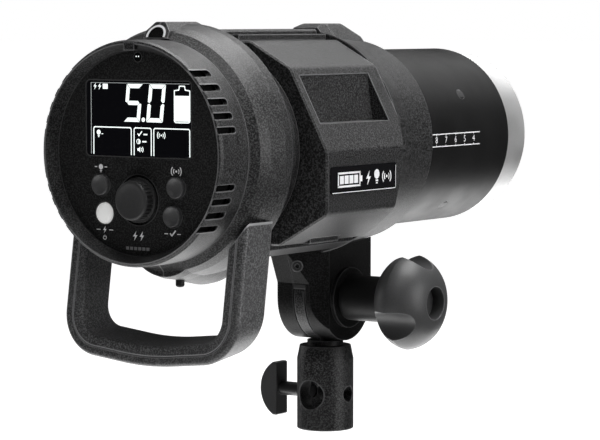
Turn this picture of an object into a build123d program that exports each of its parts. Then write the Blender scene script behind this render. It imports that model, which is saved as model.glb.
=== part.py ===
from build123d import *
import os
from math import cos, radians, sin

# A monolight strobe on its stand adapter, in millimetres.
# Frame: the origin is the centre of the stand socket's mouth, +Z runs up the socket,
# the light shines along +Y, the control panel faces -Y and the battery is on +X.

# ---- Driving dimensions ----
AXIS_Z = 160.0  # height of the light axis above the socket's mouth
TILT_Z = 74.0  # height of the tilt pivot, which runs along X
TUBE_R = 50.0  # the light-shaper tube, 100 mm across
WALL = 2.5  # moulded casing wall
SPLIT_GAP = 0.4  # gap between the battery and the housings it slides past

# Stations along the light axis (Y), from the control panel to the light
LIP_Y = -174.5
RIM_Y = -172.4
PANEL_Y = -167.3
VENT_FRONT_Y = -151.0
FLARE_REAR_Y = -147.0
FLARE_FRONT_Y = -124.0
BLOCK_REAR_Y = -100.0
BLOCK_FRONT_Y = -19.5
BELL_FRONT_Y = 24.0
TUBE_REAR_Y = 5.0
TUBE_START_Y = 24.2  # the tube's working length starts just in front of the bell
TUBE_FRONT_Y = 115.4
RING_FRONT_Y = 139.6

# Radii about the light axis
VENT_R = 57.0
FLARE_R = 65.0
NECK_R = 52.0
KEEL_DROP = 40.0  # the keel under the rear housing is turned about an axis this far below
BELL_REAR_R = 61.0
BELL_FRONT_R = 55.9
RING_R = 47.0
GLASS_R = 43.9
PANEL_R = 52.0

# Middle block: half of its eight-sided section, from the light axis
SHOULDER_X, BLOCK_TOP = 20.6, 56.0
UPPER_X, UPPER_Z = 45.8, 42.4
SIDE_X, SIDE_LOW = 68.8, -32.5
FLOOR_X, FLOOR_Z = 38.9, -49.6
BELLY_Z = -57.5
BAY_X = 13.5
BLOCK_EDGE_R = 5.0
BEVEL_WALL = 3.3  # wall left behind the bevelled front corners

# Control panel, from the light axis
SCREEN_W, SCREEN_H, SCREEN_Z = 66.4, 37.9, 17.35
DIAL_Z = -23.5
DIAL_R = 10.2
BUTTON_R = 5.35
BUTTON_HOLE_R = 5.65
BUTTONS = {
    "model_button": (-24.0, -16.4),
    "sync_button": (24.0, -16.4),
    "test_button": (-21.7, -30.9),
    "ready_button": (21.7, -30.9),
}
BUTTON_FACE_Y = PANEL_Y - 1.6
BOARD_Y = -157.9  # front face of the control board
BOARD_T = 1.6
BOARD_R = 49.0
STANDOFFS = ((-40.0, -22.0), (40.0, -22.0), (-40.0, 16.0), (40.0, 16.0))

# Tilt joint
DISC_R = 24.0
CHEEK_LEFT_X, CHEEK_RIGHT_X = -15.6, 14.5
SLOT_LEFT_X, SLOT_RIGHT_X = -5.0, 3.0
FRICTION_T = 0.6
TONGUE_W = 16.0  # width of the receiver's tongue where it joins the neck
PARTING = 0.2  # hairline between moulded halves
BOLT_R = 5.0
RUNNING_FIT = 0.05
KNOB_REAR_X, KNOB_FRONT_X = 42.0, 72.0
KNOB_R = 26.2
STEM_R = 12.5

# Stand socket
SOCKET_R = 8.05  # takes a 16 mm spigot
SOCKET_DEPTH = 38.0
RECEIVER_R = 15.7
RECEIVER_TOP = 46.7
CROSS_Z = 20.0
SCREW_Z = 20.0
SCREW_R = 3.9
TOOL_HOLE_R = 4.35  # opposite the clamp screw, where the thread was cut from

# Handle
HANDLE_TOP_Z, HANDLE_LOW_Z = -30.0, -109.5
HANDLE_HALF_W = 55.6
HANDLE_BAR = 11.0
HANDLE_DEPTH = 24.0
HANDLE_LEAN = 9.0
HANDLE_RISE = 8.0  # the bar runs up this many degrees from its face to its front

os.makedirs("parts", exist_ok=True)

LIGHT_AXIS = Axis((0, 0, AXIS_Z), (0, 1, 0))
KEEL_AXIS = Axis((0, 0, AXIS_Z - KEEL_DROP), (0, 1, 0))
TILT_AXIS = Axis((0, 0, TILT_Z), (1, 0, 0))
MERIDIAN = Plane(origin=(0, 0, AXIS_Z), x_dir=(0, 1, 0), z_dir=(1, 0, 0))
KEEL_MERIDIAN = Plane(origin=(0, 0, AXIS_Z - KEEL_DROP), x_dir=(0, 1, 0), z_dir=(1, 0, 0))


def across(y, z=AXIS_Z):
    """A plane across the light at station y, facing back, with X right and Z up."""
    return Plane(origin=(0, y, z), x_dir=(1, 0, 0), z_dir=(0, -1, 0))


def side_plane(x, z=AXIS_Z):
    """A plane across the tilt pivot at x, facing +X, with Y right and Z up."""
    return Plane(origin=(x, 0, z), x_dir=(0, 1, 0), z_dir=(1, 0, 0))


def outline(plane, points):
    """A closed straight-edged face on a plane."""
    with BuildSketch(plane) as sketch:
        with BuildLine():
            Polyline(*points, close=True)
        make_face()
    return sketch.sketch


def turn(points, mode=Mode.ADD, axis=LIGHT_AXIS, plane=MERIDIAN):
    """Turn a closed (y, radius) outline about the light axis, in the open part."""
    revolve(outline(plane, points), axis=axis, mode=mode)


def disc(x, z, radius, rear, front, mode=Mode.ADD):
    """A round bar along Y at (x, z) from the light axis, between two stations."""
    with BuildSketch(across(front)) as sketch:
        with Locations((x, z)):
            Circle(radius)
    extrude(sketch.sketch, amount=front - rear, mode=mode)


def plate(x, z, width, height, rear, front, mode=Mode.ADD, corner=0.0):
    """A rectangular bar along Y at (x, z) from the light axis, between two stations."""
    with BuildSketch(across(front)) as sketch:
        with Locations((x, z)):
            if corner:
                RectangleRounded(width, height, corner)
            else:
                Rectangle(width, height)
    extrude(sketch.sketch, amount=front - rear, mode=mode)


def pin(y, z, radius, left, right, mode=Mode.ADD):
    """A round bar along X at (y, z), with z above the socket's mouth."""
    with BuildSketch(side_plane(right, 0)) as sketch:
        with Locations((y, z)):
            Circle(radius)
    extrude(sketch.sketch, amount=left - right, mode=mode)


def save(piece, node):
    """Label a finished piece and write it to its own file."""
    piece.part.label = node
    export_step(piece.part, f"parts/{node}.step")


# ---- Rear end: vent ring, control panel and what it carries ----

VENT_SLOTS = [12.9 + 6.9 * i for i in range(5)] + [-15.4 - 6.9 * i for i in range(4)]
VENT_SLOT_FRONT_Y = -160.3
VENT_SLOT_L = 26.0
VENT_SLOT_H = 3.1
COLLAR_LIP_R, COLLAR_PANEL_R = 55.9, 53.0  # the vents stop at this collar, which follows the rim

with BuildPart() as vent_slots:
    with BuildSketch(Plane.YZ) as slots:
        for slot_z in VENT_SLOTS:
            with Locations((VENT_SLOT_FRONT_Y - VENT_SLOT_L / 2, AXIS_Z + slot_z)):
                SlotOverall(VENT_SLOT_L, VENT_SLOT_H)
    extrude(slots.sketch, amount=VENT_R + 5, both=True)
    turn([
        (LIP_Y - VENT_SLOT_L, 0), (LIP_Y - VENT_SLOT_L, COLLAR_LIP_R), (LIP_Y, COLLAR_LIP_R),
        (PANEL_Y, COLLAR_PANEL_R), (VENT_FRONT_Y, COLLAR_PANEL_R), (VENT_FRONT_Y, 0),
    ], mode=Mode.SUBTRACT)

with BuildPart() as vent_ring:
    turn([
        (LIP_Y, 55.0), (LIP_Y + 0.6, 56.3), (RIM_Y, VENT_R), (VENT_FRONT_Y, VENT_R),
        (VENT_FRONT_Y, 54.4), (-163.0, 54.4), (-163.0, PANEL_R + 0.1), (PANEL_Y, PANEL_R + 0.1),
    ])
    plate(0, 53.7, 6.6, 4.0, LIP_Y, LIP_Y + 3.0)
    add(vent_slots.part, mode=Mode.SUBTRACT)
save(vent_ring, "vent_ring")

PANEL_T = 3.0
RECESS = 1.0
SENSOR_Z = 48.3

with BuildPart() as control_panel:
    disc(0, 0, PANEL_R, PANEL_Y, PANEL_Y + PANEL_T)
    for stand_x, stand_z in STANDOFFS:
        disc(stand_x, stand_z, 3.2, PANEL_Y + PANEL_T, BOARD_Y - BOARD_T)
        disc(stand_x, stand_z, 1.4, PANEL_Y + PANEL_T, BOARD_Y, mode=Mode.SUBTRACT)
    plate(0, SCREEN_Z, SCREEN_W + 0.2, SCREEN_H + 0.2, PANEL_Y, PANEL_Y + 1.6, Mode.SUBTRACT, 2.0)
    plate(0, SCREEN_Z, 60.4, 34.4, PANEL_Y, PANEL_Y + PANEL_T, Mode.SUBTRACT)
    disc(0, DIAL_Z, 12.7, PANEL_Y, PANEL_Y + RECESS, Mode.SUBTRACT)
    disc(0, DIAL_Z, 4.2, PANEL_Y, PANEL_Y + PANEL_T, Mode.SUBTRACT)
    for hole_x, hole_z in BUTTONS.values():
        disc(hole_x, hole_z, BUTTON_HOLE_R, PANEL_Y, PANEL_Y + PANEL_T, Mode.SUBTRACT)
    disc(0, SENSOR_Z, 2.3, PANEL_Y, PANEL_Y + PANEL_T, Mode.SUBTRACT)
save(control_panel, "control_panel")

with BuildPart() as display_window:
    plate(0, SCREEN_Z, SCREEN_W, SCREEN_H, PANEL_Y + 0.1, PANEL_Y + 1.6, corner=2.0)
save(display_window, "display_window")

with BuildPart() as display_module:
    plate(0, SCREEN_Z, 60.0, 34.0, PANEL_Y + 1.65, PANEL_Y + 5.6)
save(display_module, "display_module")

with BuildPart() as control_board:
    disc(0, 0, BOARD_R, BOARD_Y - BOARD_T, BOARD_Y)
    for stand_x, stand_z in STANDOFFS:
        disc(stand_x, stand_z, 1.6, BOARD_Y - BOARD_T, BOARD_Y, Mode.SUBTRACT)
save(control_board, "control_board")

with BuildPart() as board_screws:
    for stand_x, stand_z in STANDOFFS:
        disc(stand_x, stand_z, 2.7, BOARD_Y, BOARD_Y + 1.8)
        disc(stand_x, stand_z, 1.4, BOARD_Y - 4.5, BOARD_Y)
save(board_screws, "board_screws")

with BuildPart() as tact_switches:
    for hole_x, hole_z in BUTTONS.values():
        plate(hole_x, hole_z, 6.0, 6.0, BOARD_Y - BOARD_T - 1.3, BOARD_Y - BOARD_T)
save(tact_switches, "tact_switches")

with BuildPart() as sensor_window:
    disc(0, SENSOR_Z, 2.25, PANEL_Y - 0.3, PANEL_Y + PANEL_T)
    fillet(sensor_window.faces().sort_by(Axis.Y)[0].edges(), radius=0.25)
save(sensor_window, "sensor_window")

# Setting dial: a ribbed knob on an encoder's shaft
DIAL_FRONT = PANEL_Y + RECESS - 0.5
DIAL_FACE_Y = -174.0
DIAL_RIBS = 24
ENCODER_SHAFT_R = 3.0

with BuildPart() as dial:
    disc(0, DIAL_Z, DIAL_R + 1.2, DIAL_FRONT - 1.4, DIAL_FRONT)
    disc(0, DIAL_Z, DIAL_R, DIAL_FACE_Y, DIAL_FRONT)
    fillet(dial.faces().sort_by(Axis.Y)[0].edges(), radius=0.8)
    disc(0, DIAL_Z, DIAL_R - 2.2, DIAL_FACE_Y, DIAL_FACE_Y + 0.3, Mode.SUBTRACT)
    with BuildSketch(across(DIAL_FRONT - 1.4, AXIS_Z + DIAL_Z)) as rib_gaps:
        with PolarLocations(DIAL_R + 0.35, DIAL_RIBS):
            Circle(0.7)
    extrude(rib_gaps.sketch, amount=4.6, mode=Mode.SUBTRACT)
    disc(0, DIAL_Z, ENCODER_SHAFT_R, DIAL_FRONT, -161.2)
save(dial, "dial")

with BuildPart() as dial_encoder:
    plate(0, DIAL_Z, 13.0, 13.0, -163.8, BOARD_Y - BOARD_T)
    disc(0, DIAL_Z, ENCODER_SHAFT_R + RUNNING_FIT, -163.8, -161.0, Mode.SUBTRACT)
save(dial_encoder, "dial_encoder")

BUTTON_REAR_Y = PANEL_Y + PANEL_T + 0.05
for button_name, (button_x, button_z) in BUTTONS.items():
    with BuildPart() as button:
        disc(button_x, button_z, BUTTON_R, BUTTON_FACE_Y, BUTTON_REAR_Y)
        fillet(button.faces().sort_by(Axis.Y)[0].edges(), radius=0.8)
        disc(button_x, button_z, 6.6, BUTTON_REAR_Y, BUTTON_REAR_Y + 0.9)
        disc(button_x, button_z, 2.0, BUTTON_REAR_Y + 0.9, BOARD_Y - BOARD_T - 2.4)
    save(button, button_name)

# ---- Rear housing: two halves, flared behind the vents, with a belly for the handle ----

BUMP_LOW_Y, BUMP_LOW_Z = -153.2, 57.4
BUMP_TOP_Y, BUMP_TOP_Z = -148.4, 65.9
BUMP_RISE = Vector(0, BUMP_TOP_Y - BUMP_LOW_Y, BUMP_TOP_Z - BUMP_LOW_Z).normalized()
BUMP_FACE = Plane(
    origin=(0, BUMP_LOW_Y, AXIS_Z + BUMP_LOW_Z),
    x_dir=(1, 0, 0),
    z_dir=(0, -BUMP_RISE.Z, BUMP_RISE.Y),
)

with BuildPart() as rear_bump:
    extrude(
        outline(across(-114.0), [
            (-7.8, 55), (-7.5, 61.2), (-3.0, BUMP_TOP_Z), (3.0, BUMP_TOP_Z), (7.5, 61.2), (7.8, 55),
        ]),
        amount=40,
    )
    extrude(
        outline(Plane.YZ, [
            (VENT_FRONT_Y + 0.1, 205), (VENT_FRONT_Y + 0.1, AXIS_Z + BUMP_LOW_Z),
            (BUMP_LOW_Y, AXIS_Z + BUMP_LOW_Z), (BUMP_TOP_Y, AXIS_Z + BUMP_TOP_Z),
            (-122, AXIS_Z + BUMP_TOP_Z), (-114, 220.4), (-114, 205),
        ]),
        amount=20, both=True, mode=Mode.INTERSECT,
    )
    fillet(rear_bump.edges().filter_by(Axis.Y).group_by(Axis.Z)[-1], radius=2.0)
    plate(0, 66, PARTING, 5, -154, -114, mode=Mode.SUBTRACT)

SENSOR_ARCH_W, SENSOR_ARCH_BASE, SENSOR_ARCH_TOP = 11.4, 0.6, 7.6  # on the bump's leaning face
SENSOR_ARCH_PROUD, SENSOR_ARCH_T = 0.2, 1.7

with BuildPart() as slave_window:
    with BuildSketch(BUMP_FACE.offset(SENSOR_ARCH_PROUD)) as arch:
        with BuildLine():
            Line((-SENSOR_ARCH_W / 2, SENSOR_ARCH_BASE), (SENSOR_ARCH_W / 2, SENSOR_ARCH_BASE))
            ThreePointArc(
                (SENSOR_ARCH_W / 2, SENSOR_ARCH_BASE),
                (0, SENSOR_ARCH_TOP),
                (-SENSOR_ARCH_W / 2, SENSOR_ARCH_BASE),
            )
        make_face()
    extrude(arch.sketch, amount=-SENSOR_ARCH_T)
save(slave_window, "slave_window")

KEEL = [
    (FLARE_REAR_Y, 0), (FLARE_REAR_Y, 23.9), (-142, 25.4), (-133, 26.7), (-124, 28.8), (-117, 30.2),
    (-113, 30.0), (-111, 28.2), (-111, 0),
]

for half_name, kept in (("rear_housing_left", Keep.BOTTOM), ("rear_housing_right", Keep.TOP)):
    with BuildPart() as rear_half:
        turn([
            (-156.0, 0), (-156.0, 54.3), (VENT_FRONT_Y, 54.3), (VENT_FRONT_Y, VENT_R + 0.2),
            (FLARE_REAR_Y, BELL_REAR_R), (-141, 63.2), (-131, FLARE_R), (FLARE_FRONT_Y - 0.8, FLARE_R),
            (FLARE_FRONT_Y, FLARE_R - 1), (-122, NECK_R), (BLOCK_REAR_Y, NECK_R), (BLOCK_REAR_Y, 0),
        ])
        turn(KEEL, axis=KEEL_AXIS, plane=KEEL_MERIDIAN)
        add(rear_bump.part)
        turn([
            (-156.0, 0), (-156.0, 51.8), (-148.5, 51.8), (-146, 58), (-127, 58), (-124.5, 49.5),
            (BLOCK_REAR_Y, 49.5), (BLOCK_REAR_Y, 0),
        ], mode=Mode.SUBTRACT)
        turn(
            [(-144, 0), (-144, 22.8), (-133, 24.2), (-124, 26.3), (-117, 27.6), (-114, 27.0), (-114, 0)],
            mode=Mode.SUBTRACT, axis=KEEL_AXIS, plane=KEEL_MERIDIAN,
        )
        add(slave_window.part, mode=Mode.SUBTRACT)
        split(bisect_by=Plane.YZ, keep=kept)
    save(rear_half, half_name)

FOOT_Y = -133.0
FOOT_R = 2.3
FOOT_LOW_Z = AXIS_Z - 70.3

with BuildPart() as rubber_foot:
    with BuildSketch(Plane.XY.offset(FOOT_LOW_Z)) as foot_face:
        with Locations((0, FOOT_Y)):
            Circle(FOOT_R)
    extrude(foot_face.sketch, amount=6.0)
    fillet(rubber_foot.faces().sort_by(Axis.Z)[0].edges(), radius=1.4)
    turn(KEEL, mode=Mode.SUBTRACT, axis=KEEL_AXIS, plane=KEEL_MERIDIAN)
save(rubber_foot, "rubber_foot")

# ---- Handle: a leaning U below the rear housing, made of an outer and an inner shell ----

HANDLE_RUN = Vector(0, cos(radians(HANDLE_RISE)), sin(radians(HANDLE_RISE)))


def handle_plane(back=0.0):
    """The plane of the handle's rear face, or one further back along the bar's run."""
    return Plane(
        origin=Vector(0, -154.5, AXIS_Z - 57) - HANDLE_RUN * back,
        x_dir=(1, 0, 0),
        z_dir=(0, -cos(radians(HANDLE_LEAN)), sin(radians(HANDLE_LEAN))),
    )


def handle_face(inset):
    """The filled outline of the handle, with its sides and bottom moved in by inset."""
    half, low = HANDLE_HALF_W, (HANDLE_LOW_Z + 57) / cos(radians(HANDLE_LEAN))
    with BuildSketch() as face:
        with BuildLine():
            Polyline((-half, 90), (-half, low + 6), (0, low), (half, low + 6), (half, 90), close=True)
        make_face()
        corners = face.vertices().sort_by(Axis.Y)
        fillet(corners[1:3], radius=23)
        fillet(face.vertices().sort_by(Axis.Y)[0], radius=150)
        if inset:
            offset(amount=-inset, mode=Mode.REPLACE)
        with Locations((0, 60 + HANDLE_TOP_Z + 57)):
            Rectangle(200, 120, mode=Mode.SUBTRACT)
    return face.sketch


HANDLE_EDGE_R = 2.2
HANDLE_RINGS = {
    "handle_outer_shell": (-1, HANDLE_BAR / 2 - PARTING),
    "handle_inner_shell": (HANDLE_BAR / 2 + PARTING, HANDLE_BAR + 1),
}

with BuildPart() as handle_bar:
    with BuildSketch(handle_plane()) as handle_ring:
        add(handle_face(0))
        add(handle_face(HANDLE_BAR), mode=Mode.SUBTRACT)
    extrude(handle_ring.sketch, amount=HANDLE_DEPTH, dir=HANDLE_RUN)
    rims = handle_bar.faces().filter_by(handle_plane()).edges()
    fillet(rims - rims.filter_by(Axis.X), radius=HANDLE_EDGE_R)

for shell_name, (near, far) in HANDLE_RINGS.items():
    with BuildPart() as handle_shell:
        add(handle_bar.part)
        with BuildSketch(handle_plane(1)) as shell_ring:
            add(handle_face(near))
            add(handle_face(far), mode=Mode.SUBTRACT)
        extrude(shell_ring.sketch, amount=HANDLE_DEPTH + 2, dir=HANDLE_RUN, mode=Mode.INTERSECT)
        turn(
            [(-170, 0), (-170, FLARE_R + 0.2), (-110, FLARE_R + 0.2), (-110, 0)],
            mode=Mode.SUBTRACT,
        )
    save(handle_shell, shell_name)

# ---- Middle block: housing on the left and below, battery on the right ----

LEFT_SIDE = [
    (BAY_X, BLOCK_TOP), (-SHOULDER_X, BLOCK_TOP), (-UPPER_X, UPPER_Z), (-SIDE_X, 0),
    (-SIDE_X, SIDE_LOW), (-FLOOR_X, FLOOR_Z), (-18, BELLY_Z), (BAY_X, BELLY_Z),
]
RIGHT_SIDE = [
    (BAY_X + 1, BLOCK_TOP), (SHOULDER_X, BLOCK_TOP), (UPPER_X, UPPER_Z), (SIDE_X, 0),
    (SIDE_X, SIDE_LOW), (FLOOR_X, FLOOR_Z), (BAY_X + 1, FLOOR_Z),
]


def block_face(points, inset=0.0):
    """A rounded section of the middle block, seen from behind."""
    with BuildSketch() as face:
        with BuildLine():
            Polyline(*points, close=True)
        make_face()
        fillet(
            [v for v in face.vertices() if abs(v.X) > BAY_X + 1.5],
            radius=BLOCK_EDGE_R,
        )
        if inset:
            offset(amount=-inset, mode=Mode.REPLACE, kind=Kind.INTERSECTION)
    return face.sketch


def block_run(points, rear, front, inset=0.0, mode=Mode.ADD):
    """A stretch of the middle block between two stations."""
    with BuildSketch(across(front)) as section:
        add(block_face(points, inset))
    extrude(section.sketch, amount=front - rear, mode=mode)


BEVEL_L, BEVEL_H = 16.0, 13.7  # length and height of the bevel on the front corners
REAR_EDGE = 0.9  # the small chamfer round the block's rear face
CABLE_R = 10.0  # the hole that the wires to the control board run through


def break_rear_edge(part, side):
    """Chamfer the rear face's outline, except where the two halves of the block meet."""
    rear_face = part.faces().filter_by(Axis.Y).sort_by(Axis.Y)[0]
    outer = [e for e in rear_face.outer_wire().edges() if side * (e.center().X - BAY_X) > 1.0]
    chamfer(outer, length=REAR_EDGE)


def trim_front(inset=0.0):
    """Bevel the block's wide front corners back to the front housing's round edge."""
    edge = BELL_REAR_R + 0.6 - inset
    turn([
        (BLOCK_FRONT_Y, edge), (BLOCK_FRONT_Y - BEVEL_L, edge + BEVEL_H),
        (BLOCK_FRONT_Y - BEVEL_L, 100), (BLOCK_FRONT_Y + 1, 100), (BLOCK_FRONT_Y + 1, edge),
    ], mode=Mode.SUBTRACT)


with BuildPart() as mid_core:
    block_run(LEFT_SIDE, BLOCK_REAR_Y + WALL, BLOCK_FRONT_Y, WALL)
    trim_front(BEVEL_WALL)

with BuildPart() as mid_housing:
    block_run(LEFT_SIDE, BLOCK_REAR_Y, BLOCK_FRONT_Y)
    extrude(outline(across(BLOCK_FRONT_Y), [
        (BAY_X - 1, BELLY_Z), (18, BELLY_Z), (31, FLOOR_Z - 3), (31, FLOOR_Z - 0.6),
        (BAY_X - 1, FLOOR_Z - 0.6),
    ]), amount=BLOCK_FRONT_Y - BLOCK_REAR_Y)
    trim_front()
    add(mid_core.part, mode=Mode.SUBTRACT)
    disc(0, 0, CABLE_R, BLOCK_REAR_Y, BLOCK_REAR_Y + WALL, Mode.SUBTRACT)
    break_rear_edge(mid_housing, -1)
save(mid_housing, "mid_housing")

CAPACITOR_R, CAPACITOR_L = 14.0, 66.0
CAPACITORS = ((-6, 36), (-6, 6), (-36, 20), (-36, -12), (-6, -24))

with BuildPart() as storage_capacitors:
    for cap_x, cap_z in CAPACITORS:
        disc(cap_x, cap_z, CAPACITOR_R, -93.0, -93.0 + CAPACITOR_L)
save(storage_capacitors, "storage_capacitors")

with BuildPart() as power_board:
    plate(-16, -43.5, 48, BOARD_T, -94, -24)
save(power_board, "power_board")

with BuildPart() as bay_contacts:
    for row in range(4):
        with BuildSketch(side_plane(BAY_X - WALL - 2.5)) as contact:
            with Locations((-84 + 7 * row, 0)):
                Rectangle(4, 12)
        extrude(contact.sketch, amount=2.5)
save(bay_contacts, "bay_contacts")

# Battery: it lifts out sideways, held by a latch below
BATTERY_REAR_Y = BLOCK_REAR_Y + SPLIT_GAP
BATTERY_FRONT_Y = BLOCK_FRONT_Y - SPLIT_GAP
GRIP_REAR_Y, GRIP_FRONT_Y = -94.6, -30.4
GRIP_TOP, GRIP_BOTTOM = 38.2, 13.8
GRIP_FLOOR_TOP_X, GRIP_FLOOR_LOW_X = 47.6, 51.0
LATCH_REAR_Y, LATCH_FRONT_Y = -77.0, -50.0

with BuildPart() as battery_core:
    block_run(RIGHT_SIDE, BATTERY_REAR_Y + WALL, BATTERY_FRONT_Y - WALL, WALL)
    trim_front(BEVEL_WALL)

with BuildPart() as battery_cover:
    block_run(RIGHT_SIDE, BATTERY_REAR_Y, BATTERY_FRONT_Y)
    trim_front()
    add(battery_core.part, mode=Mode.SUBTRACT)
    plate(BAY_X + 5, 0, 10, 92, BATTERY_REAR_Y + WALL, BATTERY_FRONT_Y - WALL, Mode.SUBTRACT)
    extrude(outline(across(GRIP_FRONT_Y + WALL), [
        (GRIP_FLOOR_TOP_X - WALL, GRIP_TOP + 3), (SIDE_X, GRIP_TOP + 3), (SIDE_X, GRIP_BOTTOM - WALL),
        (GRIP_FLOOR_LOW_X - WALL, GRIP_BOTTOM - WALL),
    ]), amount=GRIP_FRONT_Y - GRIP_REAR_Y + 2 * WALL)
    with BuildSketch(across(BATTERY_FRONT_Y)) as envelope:
        add(block_face(RIGHT_SIDE))
    extrude(envelope.sketch, amount=BATTERY_FRONT_Y - BATTERY_REAR_Y, mode=Mode.INTERSECT)
    extrude(outline(across(GRIP_FRONT_Y), [
        (GRIP_FLOOR_TOP_X, GRIP_TOP), (GRIP_FLOOR_TOP_X + 6, GRIP_TOP + 3), (75, GRIP_BOTTOM),
        (GRIP_FLOOR_LOW_X, GRIP_BOTTOM),
    ]), amount=GRIP_FRONT_Y - GRIP_REAR_Y, mode=Mode.SUBTRACT)
    plate(FLOOR_X, FLOOR_Z + 3.5, 9, 9, LATCH_REAR_Y, LATCH_FRONT_Y, Mode.SUBTRACT)
    break_rear_edge(battery_cover, 1)
save(battery_cover, "battery_cover")

TRAY_X = BAY_X + 1.0
TRAY_T = 2.4

with BuildPart() as battery_tray:
    plate(
        TRAY_X + TRAY_T / 2, 0.0, TRAY_T, 91.0,
        BATTERY_REAR_Y + WALL + 0.3, BATTERY_FRONT_Y - WALL - 0.3,
    )
    for row in range(4):
        plate(
            TRAY_X + 0.5, 0, 1.0, 14.0, -86.5 + 7 * row, -81.5 + 7 * row, Mode.SUBTRACT,
        )
save(battery_tray, "battery_tray")

with BuildPart() as battery_contacts:
    for row in range(4):
        plate(TRAY_X + 0.55, 0, 0.7, 12.0, -86.0 + 7 * row, -82.0 + 7 * row)
save(battery_contacts, "battery_contacts")

with BuildPart() as battery_board:
    plate(TRAY_X + TRAY_T + 0.9, 0, BOARD_T, 80, -92, -30)
save(battery_board, "battery_board")

CELL_R, CELL_L = 9.2, 65.0
CELLS = [(29.6, -36.4 + 18.5 * i) for i in range(5)] + [(48.4, -25.6), (48.4, -7.0)]

with BuildPart() as battery_cells:
    for cell_x, cell_z in CELLS:
        disc(cell_x, cell_z, CELL_R, -93, -93 + CELL_L)
save(battery_cells, "battery_cells")

LABEL_T = 0.5

with BuildPart() as battery_label:
    plate(SIDE_X + LABEL_T / 2, -15.0, LABEL_T, 14.0, -97.0, -35.5)
    fillet(battery_label.edges().filter_by(Axis.X), radius=1.2)
save(battery_label, "battery_label")

with BuildPart() as battery_latch:
    plate(FLOOR_X - 0.2, FLOOR_Z + 1.2, 7.6, 3.2, LATCH_REAR_Y + 0.4, LATCH_FRONT_Y - 0.4)
    chamfer(battery_latch.edges().filter_by(Axis.Y), length=0.6)
save(battery_latch, "battery_latch")

# ---- Top rail between the rear bump and the front bump ----

RAIL_REAR_Y, RAIL_FRONT_Y = -112.0, -19.7

with BuildPart() as top_rail:
    plate(0, 57.6, 27, 3.2, BLOCK_REAR_Y, RAIL_FRONT_Y)
    plate(0, 59.0, 15, 5.8, RAIL_REAR_Y, RAIL_FRONT_Y)
    chamfer(top_rail.edges().filter_by(Axis.Y).group_by(Axis.Z)[-1], length=1.2)
save(top_rail, "top_rail")

# ---- Front housing, tube and lamp ----

SEAM_DEPTH = 0.6
BUMP_SEAM = [
    (-16, -12.3), (1, -12.3), (5, -8.8), (16, -8.8), (16, -8.2), (4.7, -8.2), (0.7, -11.7),
    (-16, -11.7),
]

with BuildPart() as front_bump:
    extrude(outline(across(17.0), [(-15, 54), (-6, 64.8), (6, 64.8), (15, 54)]), amount=36.3)
    extrude(
        outline(Plane.YZ, [(-19.3, 210), (-19.3, 222.6), (-13, 224.8), (6, 224.8), (17, 217.5), (17, 210)]),
        amount=20, both=True, mode=Mode.INTERSECT,
    )
    fillet(front_bump.edges().filter_by(Axis.Y).group_by(Axis.Z)[-1], radius=2.5)

with BuildPart() as bump_seam:
    extrude(outline(Plane.XY.offset(AXIS_Z + 50), BUMP_SEAM), amount=16)
    add(front_bump.part.moved(Location((0, 0, -SEAM_DEPTH))), mode=Mode.SUBTRACT)

BULKHEAD_Y = BLOCK_FRONT_Y + 0.2

with BuildPart() as front_housing:
    turn([
        (BULKHEAD_Y, 0), (BULKHEAD_Y, BELL_REAR_R), (-14, 59.2), (-4, 57.9), (10, 56.8),
        (BELL_FRONT_Y - 1.5, BELL_FRONT_R), (BELL_FRONT_Y, BELL_FRONT_R - 1.2), (BELL_FRONT_Y, 0),
    ])
    add(front_bump.part - bump_seam.part)
    turn([
        (BULKHEAD_Y + WALL, 0), (BULKHEAD_Y + WALL, 57.4), (-4, 55.4), (10, 54.3), (20, 53.5),
        (20, TUBE_R + 0.15), (BELL_FRONT_Y, TUBE_R + 0.15), (BELL_FRONT_Y, 0),
    ], mode=Mode.SUBTRACT)
    disc(0, 0, 28.0, BULKHEAD_Y, BULKHEAD_Y + WALL, Mode.SUBTRACT)
save(front_housing, "front_housing")

TUBE_WALL = 2.0
TUBE_STEP = 0.9  # the hidden stretch inside the bell is this much thinner
TUBE_SCREW_Y = 72.0
TUBE_SCREW_ANGLES = (30, 150, 230, 310)
SCREW_HEAD_R, SCREW_SHANK_R = 3.3, 1.5


def tube_screw_plane(angle):
    """A plane facing out of the tube at a screw, on the tube's surface."""
    out = (cos(radians(angle)), 0, sin(radians(angle)))
    spot = (out[0] * (TUBE_R - 0.12), TUBE_SCREW_Y, AXIS_Z + out[2] * (TUBE_R - 0.12))
    return Plane(origin=spot, x_dir=(0, 1, 0), z_dir=out)


def countersunk(plane, length, grow=0.0, mode=Mode.ADD):
    """A countersunk screw's head and shank, going in from its plane."""
    with BuildSketch(plane) as top:
        Circle(SCREW_HEAD_R + grow)
    with BuildSketch(plane.offset(-1.7)) as base:
        Circle(SCREW_SHANK_R + grow)
    loft([top.sketch, base.sketch], mode=mode)
    extrude(base.sketch, amount=1.7 - length, mode=mode)


with BuildPart() as front_tube:
    turn([
        (TUBE_REAR_Y, TUBE_R - TUBE_WALL), (TUBE_REAR_Y, TUBE_R + 3), (TUBE_REAR_Y + 3, TUBE_R + 3),
        (TUBE_REAR_Y + 3, TUBE_R - TUBE_STEP), (TUBE_START_Y, TUBE_R - TUBE_STEP), (TUBE_START_Y, TUBE_R),
        (TUBE_FRONT_Y - 0.8, TUBE_R), (TUBE_FRONT_Y, TUBE_R - 0.8),
        (TUBE_FRONT_Y, TUBE_R - TUBE_WALL),
    ])
    for screw_angle in TUBE_SCREW_ANGLES:
        countersunk(tube_screw_plane(screw_angle), 5.0, grow=0.05, mode=Mode.SUBTRACT)
save(front_tube, "front_tube")

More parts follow.
